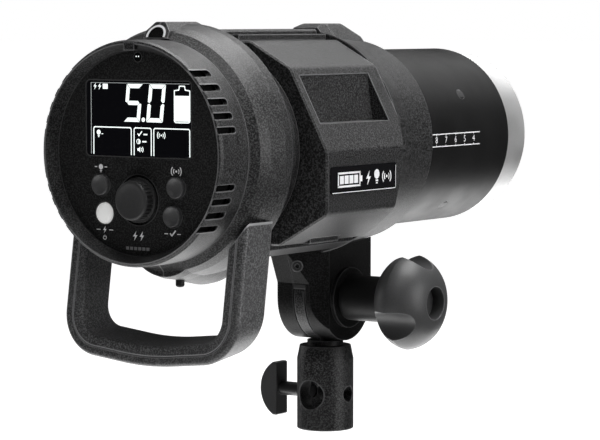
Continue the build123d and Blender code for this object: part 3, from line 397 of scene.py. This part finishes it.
NODE_MATERIALS = {
    body: ("vent_ring", "rear_housing_left", "rear_housing_right", "mid_housing", "battery_cover",
           "battery_latch", "top_rail", "front_housing"),
    handle_plastic: ("handle_outer_shell", "handle_inner_shell"),
    panel_plastic: ("control_panel",),
    inner: ("fan_frame", "fan_rotor", "friction_washers", "battery_tray"),
    tube_paint: ("front_tube",),
    bracket_paint: ("bracket_left", "bracket_right", "thrust_washer"),
    receiver_paint: ("receiver",),
    knob_plastic: ("tilt_knob", "knob_cap", "clamp_wing"),
    hub_plastic: ("knob_hub",),
    screw_black: ("tube_screws", "bracket_screw", "clamp_screw"),
    ring_metal: ("front_ring", "lamp_carrier"),
    steel: ("tilt_bolt", "board_screws", "dial_encoder"),
    brass: ("bay_contacts", "battery_contacts"),
    reflector: ("reflector_dish",),
    screen_black: ("display_window", "display_module"),
    label_black: ("battery_label",),
    button_grey: ("model_button", "sync_button", "ready_button"),
    button_white: ("test_button",),
    dial_plastic: ("dial",),
    rubber: ("rubber_foot",),
    glass: ("glass_cover", "flash_tube", "modelling_lamp"),
    ceramic: ("lamp_base",),
    window_dark: ("slave_window", "sensor_window"),
    solder_mask: ("control_board", "power_board", "battery_board", "tact_switches"),
    sleeve_blue: ("storage_capacitors",),
    sleeve_green: ("battery_cells",),
}

for finish, named in NODE_MATERIALS.items():
    for node in named:
        nodes[node].data.materials.clear()
        nodes[node].data.materials.append(finish)

# ---------------------------------------------------------------- mesh helpers


def add_piece(name, vertices, faces, material, ride, sharp=None):
    """A finished mesh piece that rides on a body and takes the finish it is given."""
    mesh = bpy.data.meshes.new(name)
    mesh.from_pydata([tuple(v) for v in vertices], [], faces)
    mesh.validate()
    mesh.update()
    if sharp is not None:
        mesh.shade_smooth()
        mesh.set_sharp_from_angle(angle=radians(sharp))
    mesh.materials.append(material)
    piece = bpy.data.objects.new(name, mesh)
    bpy.context.scene.collection.objects.link(piece)
    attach(piece, ride)
    return piece


def on_panel(x, z, out=0.0):
    """A point on the control panel, x and z in millimetres from the light axis."""
    return Vector((x * MM, PANEL_Y - out * MM, AXIS_Z + z * MM))


def on_screen(x, z, out=0.0):
    """A point on the screen's window, x and z in millimetres from the light axis."""
    return Vector((x * MM, SCREEN_Y - out * MM, AXIS_Z + z * MM))


def on_tube(along, around, out=0.0):
    """A point on the tube's right side: along it, and up round it, in millimetres."""
    angle = around * MM / TUBE_R
    reach = TUBE_R + out * MM
    return Vector((reach * cos(angle), along * MM, AXIS_Z + reach * sin(angle)))


def face_outward(piece):
    """Turn every face of a closed piece outwards."""
    mesh = bmesh.new()
    mesh.from_mesh(piece.data)
    bmesh.ops.recalc_face_normals(mesh, faces=mesh.faces)
    mesh.to_mesh(piece.data)
    mesh.free()


def stamp(name, shapes, place, lift, thick, material, ride):
    """Flat shapes, each a list of 2-D points, raised a little from a surface."""
    vertices, faces = [], []
    for shape in shapes:
        first, count = len(vertices), len(shape)
        vertices += [place(x, y, lift + thick) for x, y in shape]
        vertices += [place(x, y, lift) for x, y in shape]
        top = list(range(first, first + count))
        low = list(range(first + count, first + 2 * count))
        faces.append(top)
        faces.append(low[::-1])
        for i in range(count):
            j = (i + 1) % count
            faces.append((top[i], low[i], low[j], top[j]))
    piece = add_piece(name, vertices, faces, material, ride)
    face_outward(piece)
    return piece


def shifted(shapes, x, y, scale=1.0):
    """Shapes scaled about the origin, then moved to (x, y)."""
    return [[(x + px * scale, y + py * scale) for px, py in shape] for shape in shapes]


def stroke(x0, y0, x1, y1, width):
    """A straight stroke as a four-cornered shape."""
    length = ((x1 - x0) ** 2 + (y1 - y0) ** 2) ** 0.5
    nx, ny = -(y1 - y0) / length * width / 2, (x1 - x0) / length * width / 2
    return [(x0 + nx, y0 + ny), (x0 - nx, y0 - ny), (x1 - nx, y1 - ny), (x1 + nx, y1 + ny)]


def spot(x, y, radius, steps=20):
    """A round spot as a many-cornered shape."""
    turns = [2 * pi * i / steps for i in range(steps)]
    return [(x + radius * cos(t), y + radius * sin(t)) for t in turns]


def arc(x, y, radius, width, start, end, steps=12):
    """An arc-shaped band, in degrees from start to end, as short four-cornered shapes."""
    turns = [radians(start + (end - start) * i / steps) for i in range(steps + 1)]
    inside, outside = radius - width / 2, radius + width / 2
    return [
        [
            (x + inside * cos(a), y + inside * sin(a)), (x + outside * cos(a), y + outside * sin(a)),
            (x + outside * cos(b), y + outside * sin(b)), (x + inside * cos(b), y + inside * sin(b)),
        ]
        for a, b in zip(turns, turns[1:])
    ]


def lathe(name, profile, centre, material, ride, steps=72, flute=None):
    """A (station, radius) profile in millimetres, turned round an axis along Y; flute adds to its radius."""
    vertices, faces = [], []
    for row, (station, radius) in enumerate(profile):
        for i in range(steps):
            turn = 2 * pi * i / steps
            reach = (radius + (flute(row, turn) if flute else 0.0)) * MM
            vertices.append(centre + Vector((reach * cos(turn), station * MM, reach * sin(turn))))
    for k in range(len(profile) - 1):
        for i in range(steps):
            j = (i + 1) % steps
            faces.append((k * steps + i, k * steps + j, (k + 1) * steps + j, (k + 1) * steps + i))
    faces.append(tuple(range(steps))[::-1])
    faces.append(tuple((len(profile) - 1) * steps + i for i in range(steps)))
    piece = add_piece(name, vertices, faces, material, ride, 38)
    face_outward(piece)
    return piece


# ---------------------------------------------------------------- icons, in millimetres

BULB = [spot(0, 0.7, 1.25), stroke(-0.6, -0.95, 0.6, -0.95, 0.45), stroke(-0.4, -1.6, 0.4, -1.6, 0.4)]
RAYS = [stroke(-3.6, 0.7, -2.2, 0.7, 0.45), stroke(2.2, 0.7, 3.6, 0.7, 0.45)]
BOLT = [[(0.5, 1.7), (-1.0, -0.2), (-0.1, -0.2), (-0.5, -1.7), (1.0, 0.3), (0.1, 0.3)]]
CHECK = [stroke(-1.5, 0.0, -0.45, -1.15, 0.62), stroke(-0.62, -1.2, 1.6, 1.3, 0.62)]
POWER = [*arc(0, 0, 1.15, 0.4, 120, 420, 16), stroke(0, 0.3, 0, 1.6, 0.4)]
DASH = [stroke(-1.6, 0, 1.6, 0, 0.5)]
SHORT_DASH = [stroke(-1.4, 0, 1.4, 0, 0.5)]
WAVES = [
    spot(0, 0, 0.5, 14), *arc(0, 0, 1.5, 0.45, -42, 42, 6), *arc(0, 0, 2.7, 0.45, -42, 42, 8),
    *arc(0, 0, 1.5, 0.45, 138, 222, 6), *arc(0, 0, 2.7, 0.45, 138, 222, 8),
]
SPEAKER = [
    [(-1.6, -0.6), (-0.8, -0.6), (0.2, -1.4), (0.2, 1.4), (-0.8, 0.6), (-1.6, 0.6)],
    *arc(0.1, 0, 1.1, 0.4, -45, 45, 6), *arc(0.1, 0, 1.95, 0.4, -45, 45, 8),
]
DISC = spot(0, 0, 1.3, 24)
HALF_DISC = [
    *arc(0, 0, 1.15, 0.35, 90, 270, 10),
    [(0, -1.3), *DISC[19:24], (1.3, 0), *DISC[1:6], (0, 1.3)],
]

# ---------------------------------------------------------------- screen

SCREEN_CORNER, SCREEN_RIM = 2.0 * MM, 0.6 * MM  # the window's corner radius and bevel
CORNER_STEPS = 8
LIT_LIFT, LIT_T, BORDER_T = 0.02, 0.05, 0.04  # what is lit: its lift off the window, and thickness
LINE = 0.55  # the width of a lit line
SLANT = 0.115  # how far the figures lean, per unit of height
FIGURE_LOW, FIGURE_H, FIGURE_STROKE, FIGURE_GAP = 15.8, 19.0, 2.1, 0.2
FIGURES = (("5", -8.1, 10.2), ("0", 6.2, 10.4))  # figure, left edge, width
POINT = spot(3.3, 17.0, 1.1)
LIT_BARS = {
    "5": ("top", "upper_left", "middle", "lower_right", "bottom"),
    "0": ("top", "upper_left", "upper_right", "lower_left", "lower_right", "bottom"),
}
CHARGE_MARK = shifted([
    stroke(22.8, 17.0, 22.8, 31.6, LINE), stroke(32.4, 17.0, 32.4, 31.6, LINE),
    *arc(23.9, 17.1, 1.1, LINE, 180, 270, 5), *arc(31.3, 17.1, 1.1, LINE, 270, 360, 5),
    stroke(23.9, 16.0, 31.3, 16.0, LINE),
    stroke(22.6, 31.8, 25.6, 32.2, LINE), stroke(29.6, 32.2, 32.6, 31.8, LINE),
    stroke(25.6, 32.1, 26.0, 34.0, LINE), stroke(29.6, 32.1, 29.2, 34.0, LINE),
    stroke(25.8, 34.1, 29.4, 34.1, LINE),
    [(23.1, 16.6), (32.1, 16.6), (32.1, 29.3), (23.1, 29.3)],
], 0.1, 0.0)
FRAMES = ((-28.6, -4.4), (-2.6, 8.3), (9.9, 32.4))  # left and right edges
FRAME_LOW, FRAME_HIGH, FRAME_CORNER, FRAME_LAP = -1.0, 12.8, 1.0, 0.1
SCREEN_ICONS = [
    *shifted(BULB, -25.4, 9.4), *shifted(RAYS[1:], -25.4, 8.8, 0.8),
    *shifted(CHECK, 1.0, 10.0, 0.9), *shifted([stroke(0, 0, 2.4, 0, 0.7)], 3.4, 9.6),
    *shifted(HALF_DISC, 0.2, 6.0), *shifted([stroke(0, 0, 2.6, 0, 0.7)], 2.6, 6.0),
    *shifted(SPEAKER, 1.1, 2.0), *shifted(WAVES, 14.6, 9.4, 0.9),
    *shifted(BOLT, -27.6, 33.4, 1.05), *shifted(BOLT, -24.6, 33.4, 1.05),
    stroke(-22.6, 33.4, -19.4, 33.4, 2.6),
]
SCREEN_BORDER = [stroke(-30.2, -0.9, -30.2, 35.2, 0.3), stroke(-30.2, 35.2, 32.3, 35.2, 0.2)]


def seven_segments(digit, x, y, width, height, thick):
    """The lit segments of a leaning seven-segment figure, its lower left corner at (x, y)."""
    half, m, gap = height / 2, thick / 2, FIGURE_GAP
    level = [
        (gap, 0), (width - gap, 0), (width - thick - gap, thick), (thick + gap, thick),
    ]
    upright = [
        (0, gap), (thick, thick + gap), (thick, half - m - gap), (m, half - gap),
        (0, half - m * 0.4 - gap),
    ]
    middle_bar = [
        (m + gap, half), (thick + gap, half - m), (width - thick - gap, half - m),
        (width - m - gap, half), (width - thick - gap, half + m), (thick + gap, half + m),
    ]

    def flip_x(shape):
        return [(width - px, py) for px, py in shape]

    def flip_y(shape):
        return [(px, height - py) for px, py in shape]

    bars = {
        "bottom": level, "top": flip_y(level), "middle": middle_bar,
        "lower_left": upright, "upper_left": flip_y(upright),
        "lower_right": flip_x(upright), "upper_right": flip_x(flip_y(upright)),
    }
    return [[(x + px + (py - half) * SLANT, y + py) for px, py in bars[bar]] for bar in LIT_BARS[digit]]


def make_window():
    """The smoked screen window, with a bevelled rim and rounded corners."""
    low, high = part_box("display_window")
    corner, rim = SCREEN_CORNER, SCREEN_RIM
    outline = []
    for cx, cz, start in (
        (high.x - corner, high.z - corner, 0), (low.x + corner, high.z - corner, 90),
        (low.x + corner, low.z + corner, 180), (high.x - corner, low.z + corner, 270),
    ):
        for k in range(CORNER_STEPS + 1):
            turn = radians(start + 90 * k / CORNER_STEPS)
            outline.append((cx, cz, cos(turn), sin(turn)))
    rows = [(0.0, high.y - low.y), (0.0, rim * 0.6), (rim * 0.35, rim * 0.15), (rim, 0.0)]
    vertices, faces, count = [], [], len(outline)
    for inset, back in rows:
        for cx, cz, ux, uz in outline:
            vertices.append((cx + ux * (corner - inset), low.y + back, cz + uz * (corner - inset)))
    for r in range(len(rows) - 1):
        for i in range(count):
            j = (i + 1) % count
            faces.append((r * count + i, r * count + j, (r + 1) * count + j, (r + 1) * count + i))
    face_row = (len(rows) - 1) * count
    faces.append(tuple(range(count)))
    faces.append(tuple(face_row + i for i in range(count))[::-1])
    window = add_piece("screen_window", vertices, faces, screen_black, "head", 40)
    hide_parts("display_window")


def make_screen_lights():
    """All that is lit behind the window: figures, charge mark, frames, icons and a thin border."""
    shapes = []
    for digit, left, width in FIGURES:
        shapes += seven_segments(digit, left, FIGURE_LOW, width, FIGURE_H, FIGURE_STROKE)
    shapes += [POINT, *CHARGE_MARK]
    stamp("screen_figures", shapes, on_screen, LIT_LIFT, LIT_T, lit, "head")
    frames, corner, shoulder = [], FRAME_CORNER, FRAME_HIGH - FRAME_CORNER
    for left, right in FRAMES:
        inner_left, inner_right = left + corner - FRAME_LAP, right - corner + FRAME_LAP
        frames += [
            stroke(left, FRAME_LOW, left, shoulder, LINE), stroke(right, FRAME_LOW, right, shoulder, LINE),
            stroke(inner_left, FRAME_HIGH, inner_right, FRAME_HIGH, LINE),
            *arc(left + corner, shoulder, corner, LINE, 90, 180, 5),
            *arc(right - corner, shoulder, corner, LINE, 0, 90, 5),
        ]
    shapes = [*frames, *SCREEN_ICONS]
    stamp("screen_icons", shapes, on_screen, LIT_LIFT, LIT_T, lit, "head")
    stamp("screen_border", SCREEN_BORDER, on_screen, LIT_LIFT, BORDER_T, lit_dim, "head")


# ---------------------------------------------------------------- panel

PRINT_T = 0.05  # how thick the ink is
PANEL_ICONS = [
    *shifted(BULB, -24.0, -8.2, 1.1), *shifted(RAYS, -24.0, -8.2, 1.1),
    *shifted(WAVES, 24.0, -8.3, 1.15),
    *shifted(BOLT, -21.7, -39.3, 1.1), *shifted(DASH, -17.6, -39.3, 0.8),
    *shifted(DASH, -25.8, -39.3, 0.8),
    *shifted(POWER, -21.7, -43.3, 0.85),
    *shifted(CHECK, 21.7, -39.3, 1.15), *shifted(SHORT_DASH, 25.6, -39.6, 0.8),
    *shifted(SHORT_DASH, 17.6, -39.6, 0.8),
    *shifted(BOLT, -2.1, -41.6, 1.45), *shifted(BOLT, 2.1, -41.6, 1.45),
]
LEVEL_MARKS = [stroke(x, -48.0, x + 1.9, -48.0, 1.6) for x in (-8.0, -5.4, -2.8, -0.2, 2.4, 5.0)]

# Profiles are (station, radius): the station runs inwards from the outer face.
CAP_SKIRT = [(7.0, 2.0), (5.55, 2.0), (5.55, 6.6), (4.65, 6.6), (4.65, 5.35)]
DISHED_CAP = [
    *CAP_SKIRT, (0.55, 5.35), (0.15, 5.15), (0.0, 4.85), (0.15, 4.5), (0.75, 3.8), (1.25, 2.8),
    (1.5, 1.5), (1.58, 0.5),
]
DOMED_CAP = [*CAP_SKIRT, (1.5, 5.35), (0.95, 5.05), (0.5, 4.4), (0.2, 3.3), (0.05, 1.8), (0.0, 0.6)]
DIAL_SHAFT_R = 3.0
DIAL = [
    (7.2, 3.0), (7.2, 11.4), (5.8, 11.4), (5.8, 10.2), (5.6, 10.2), (1.5, 10.2), (1.3, 10.15),
    (0.6, 9.9), (0.15, 9.4), (0.0, 8.8), (0.1, 8.3), (0.4, 7.4), (0.75, 5.6), (0.95, 3.0), (1.0, 1.0),
]
DIAL_STEPS, FLUTES, FLUTE_DEPTH = 360, 30, 0.45
FLUTED_ROWS = range(5, 7)  # the side of the dial, between its collar and its rounded edge

# The rear window leans forward and up; its outer edge carries a pale rim.
REAR_WINDOW_LEAN = (4.8, 8.5)
REAR_WINDOW_T = 1.7
REAR_RIM_W, REAR_RIM_INSET, REAR_RIM_LIFT, REAR_RIM_T = 1.1, 0.5, 0.02, 0.25
# Two glowing dots in the sensor's window, painted glints: their spacing, height, radius and thickness.
GLINT_X, GLINT_Z, GLINT_R, GLINT_T = 0.75, 0.35, 0.36, 0.03


def make_panel_print():
    """White icons beside the buttons, and a grey row of marks at the bottom."""
    stamp("panel_icons", PANEL_ICONS, on_panel, 0.0, PRINT_T, white_ink_and_highlight, "head")
    stamp("panel_levels", LEVEL_MARKS, on_panel, 0.0, PRINT_T, grey_ink, "head")


def outer_face(node):
    """The middle of a round node's outer face, on the panel's side."""
    centre = middle(node)
    return Vector((centre.x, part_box(node)[0].y, centre.z))


def make_buttons():
    """Dished grey caps, and a domed white one that glows as if lit from inside; its glow is partly painted
    light, standing in for the light that falls on it.
    """
    for node, finish, profile, slot in (
        ("model_button", button_grey, DISHED_CAP, "button_rubber"),
        ("sync_button", button_grey, DISHED_CAP, "button_rubber"),
        ("ready_button", button_grey, DISHED_CAP, "button_rubber"),
        ("test_button", button_white, DOMED_CAP, "button_white"),
    ):
        cap = lathe(node.replace("button", "cap"), profile, outer_face(node), finish, node)
        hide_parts(node)


def make_dial():
    """The setting dial: a fluted side, a rounded edge and a dished face."""
    low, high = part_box("dial")
    profile = [((high.y - low.y) / MM, DIAL_SHAFT_R), *DIAL]

    def flute(row, turn):
        return -FLUTE_DEPTH * max(0.0, cos(FLUTES * turn)) ** 2 if row in FLUTED_ROWS else 0.0

    dial = lathe(
        "setting_dial", profile, outer_face("dial"), dial_plastic, "dial", DIAL_STEPS, flute,
    )
    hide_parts("dial")


def make_sensor_glints():
    """Two tiny painted glints in the sensor's window, made to glow."""
    face = outer_face("sensor_window")

    def on_sensor(x, z, out):
        return face + Vector((x * MM, -out * MM, z * MM))

    pair = [spot(x, GLINT_Z, GLINT_R, 12) for x in (-GLINT_X, GLINT_X)]
    stamp("sensor_glints", pair, on_sensor, 0.0, GLINT_T, lit, "head")


def make_window_rim():
    """The pale rim round the arched rear window."""
    low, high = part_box("slave_window")
    lean = Vector((0, *REAR_WINDOW_LEAN)).normalized()
    outward = Vector((0, -lean.z, lean.y))
    foot = Vector((0, low.y, low.z + REAR_WINDOW_T * MM * outward.z))

    def on_window(x, up, out):
        return foot + Vector((x * MM, 0, 0)) + lean * up * MM + outward * out * MM

    radius = (high.x - low.x) / 2 / MM
    top = (high.z - foot.z) / lean.z / MM
    rim = arc(0, top - radius, radius - REAR_RIM_INSET, REAR_RIM_W, -11, 191, 36)
    stamp("window_rim", rim, on_window, REAR_RIM_LIFT, REAR_RIM_T, white_ink_and_highlight, "head")


# ---------------------------------------------------------------- battery label, vents

# The painted highlight along the label's lower and front edge: its inset, corner radius, overlap at the
# corner and width.
LABEL_EDGE, LABEL_CORNER, LABEL_LAP, LABEL_LINE = 0.5, 1.0, 0.1, 0.35
LABEL_T = 0.04
CELL_BARS, BAR_W, BAR_HALF = (-22.6, -18.2, -13.8, -9.4), 3.6, 2.1
LABEL_CELL = [
    stroke(-24.0, -3.4, -24.0, 3.4, 1.0), stroke(-4.0, -3.4, -4.0, 3.4, 1.0),
    stroke(-24.5, 3.4, -3.5, 3.4, 1.0), stroke(-24.5, -3.4, -3.5, -3.4, 1.0),
    stroke(-2.6, -1.5, -2.6, 1.5, 1.6),
    *[
        [(x, -BAR_HALF), (x + BAR_W, -BAR_HALF), (x + BAR_W, BAR_HALF), (x, BAR_HALF)]
        for x in CELL_BARS
    ],
]
LABEL_MARKS = [*shifted(BOLT, 4.0, 0.0, 2.2), *shifted(BULB, 12.0, 0.2, 2.0), *shifted(WAVES, 21.5, 0.0, 1.5)]
# The near-black sheet of painted shade behind the vents, as (station, radius) in millimetres.
VENT_SHADE_SHEET = [(1.0, 55.9), (7.2, 53.0), (14.0, 53.0), (14.0, 53.35), (7.3, 53.35), (1.0, 56.2)]
VENT_SHADE_SHEET_STEPS = 120


def make_label_marks_and_highlight():
    """The battery's label: a painted highlight along its lower and front edge, a charge mark and three icons.
    """
    low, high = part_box("battery_label")
    centre = (low + high) / 2
    half_l, half_h = (high.y - low.y) / 2 / MM, (high.z - low.z) / 2 / MM

    def on_label(y, z, out):
        return Vector((high.x + out * MM, centre.y + y * MM, centre.z + z * MM))

    e = LABEL_EDGE
    short = e + LABEL_CORNER - LABEL_LAP
    # A painted highlight along the lower and front edge, round the lower front corner.
    edge = [
        stroke(-half_l + short, -half_h + e, half_l - short, -half_h + e, LABEL_LINE),
        stroke(half_l - e, -half_h + short, half_l - e, half_h - short, LABEL_LINE),
        *arc(half_l - e - LABEL_CORNER, -half_h + e + LABEL_CORNER, LABEL_CORNER, LABEL_LINE, 270, 360, 6),
    ]
    shapes = [*edge, *LABEL_CELL, *LABEL_MARKS]
    stamp("label_marks_and_highlight", shapes, on_label, 0.0, LABEL_T, white_ink_and_highlight, "battery")


def make_vent_shade_sheet():
    """A near-black sheet behind the vents, painted shade that darkens their openings; between them it is
    inside the ring's wall.
    """
    face = Vector((0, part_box("vent_ring")[0].y, AXIS_Z))
    vertices, faces, steps = [], [], VENT_SHADE_SHEET_STEPS
    for station, radius in VENT_SHADE_SHEET:
        for i in range(steps):
            turn = 2 * pi * i / steps
            vertices.append(face + Vector((radius * cos(turn), station, radius * sin(turn))) * MM)
    for k in range(len(VENT_SHADE_SHEET)):
        for i in range(steps):
            j, m = (i + 1) % steps, (k + 1) % len(VENT_SHADE_SHEET)
            faces.append((k * steps + i, k * steps + j, m * steps + j, m * steps + i))
    face_outward(add_piece("vent_shade_sheet", vertices, faces, vent_shade_black, "head", 30))


# ---------------------------------------------------------------- tube scale

SCALE_FIGURES = (("8", 36.1), ("7", 46.1), ("6", 56.3), ("5", 66.0), ("4", 75.8))
SCALE_SIZE = 5.0  # of the figures
SCALE_START, SCALE_L, SCALE_PARTS, SCALE_LINE = 25.2, 57.4, 17, 0.55
SCALE_HALF = 3.4  # each long line's distance from the scale's middle
TICK_L, TICK_W = 0.95, 0.4


def figure_mesh(text, size):
    """A figure's flat outline as a mesh, centred on the origin."""
    curve = bpy.data.curves.new("figure", "FONT")
    curve.body, curve.size = text, size
    curve.align_x, curve.align_y = "CENTER", "CENTER"
    holder = bpy.data.objects.new("figure", curve)
    bpy.context.scene.collection.objects.link(holder)
    bpy.context.view_layer.update()
    mesh = bpy.data.meshes.new_from_object(holder)
    bpy.data.objects.remove(holder)
    return mesh


def make_scale():
    """The slide scale on the tube: two long lines, ticks and figures."""
    shapes = []
    stops = [SCALE_START + SCALE_L * k / SCALE_PARTS for k in range(SCALE_PARTS + 1)]
    for around in (-SCALE_HALF, SCALE_HALF):
        shapes += [stroke(start, around, end, around, SCALE_LINE) for start, end in zip(stops, stops[1:])]
    for _, along in SCALE_FIGURES:
        for around in (-SCALE_HALF, SCALE_HALF):
            inward = -1 if around > 0 else 1
            shapes.append(stroke(along, around, along, around + inward * TICK_L, TICK_W))
    stamp("tube_scale", shapes, on_tube, 0.0, PRINT_T, white_ink_and_highlight, "head")
    vertices, faces = [], []
    for text, along in SCALE_FIGURES:
        mesh = figure_mesh(text, SCALE_SIZE)
        first = len(vertices)
        vertices += [on_tube(along + v.co.x, v.co.y, PRINT_T) for v in mesh.vertices]
        faces += [tuple(first + i for i in p.vertices) for p in mesh.polygons]
        bpy.data.meshes.remove(mesh)
    add_piece("tube_figures", vertices, faces, white_ink_and_highlight, "head")


make_window()
make_screen_lights()
make_panel_print()
make_buttons()
make_dial()
make_sensor_glints()
make_window_rim()
make_label_marks_and_highlight()
make_vent_shade_sheet()
make_scale()
